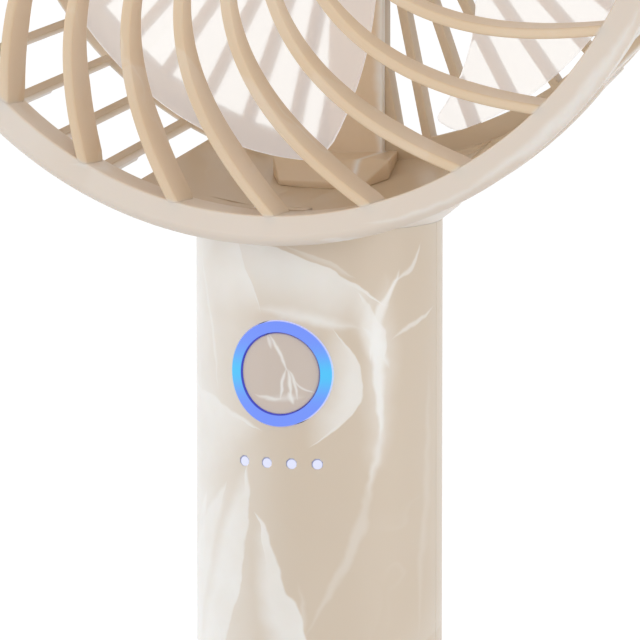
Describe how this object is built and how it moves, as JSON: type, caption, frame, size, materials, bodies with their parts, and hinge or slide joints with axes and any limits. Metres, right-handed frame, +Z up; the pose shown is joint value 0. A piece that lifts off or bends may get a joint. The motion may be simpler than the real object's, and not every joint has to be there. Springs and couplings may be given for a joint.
{
  "type": "handheld fan",
  "caption": "Battery handheld fan with a round spiral-ribbed guard, a pitched impeller and a cylindrical handle with a lit push button and indicator lights.",
  "frame": {"origin": "centre of the flat base of the handle", "axes": "+Z up along the handle, -Y towards the front where the air and the button face, +X to the right of someone who faces the front"},
  "size_m": [0.1058, 0.044, 0.2124],
  "materials": {
    "marbled_shell": "satin moulded plastic, cream with white marbling",
    "milky_blade": "milky translucent moulded plastic",
    "light_guide": "frosted light guide, lit blue",
    "indicator_guide": "frosted clear light guide",
    "motor_steel": "plated drawn steel",
    "bright_steel": "ground steel",
    "switch_black": "matt black plastic",
    "led_white": "white lamp body",
    "board_green": "green glass-fibre laminate",
    "cell_wrap": "shrink sleeve",
    "nickel": "nickel strip",
    "foam": "dark foam"
  },
  "bodies": {
    "housing": {"front_guard": "marbled_shell", "rear_guard": "marbled_shell", "rear_grille": "marbled_shell", "wire_duct": "marbled_shell", "handle_front_shell": "marbled_shell", "handle_rear_shell": "marbled_shell", "base_cap": "marbled_shell", "light_ring": "light_guide", "indicator_lights": "indicator_guide", "motor_can": "motor_steel", "button_switch": "switch_black", "indicator_leds": "led_white", "ring_leds": "led_white", "circuit_board": "board_green", "charge_board": "board_green", "board_components": "switch_black", "charge_socket": "bright_steel", "charge_socket_tongue": "switch_black", "battery_cell": "cell_wrap", "battery_tabs": "nickel", "battery_pads": "foam"},
    "impeller": {"impeller": "milky_blade", "motor_shaft": "bright_steel"},
    "button": {"power_button": "marbled_shell", "switch_stem": "switch_black"}
  },
  "joints": [
    {"name": "impeller_spin", "type": "hinge", "parent": "housing", "child": "impeller", "pos_m": [0, 0, 0.1595], "axis": [0, 1, 0], "continuous": true},
    {"name": "button_press", "type": "slide", "parent": "housing", "child": "button", "axis": [0, 1, 0], "range_m": [0, 0.0005], "stiffness_N_per_m": 400}
  ]
}
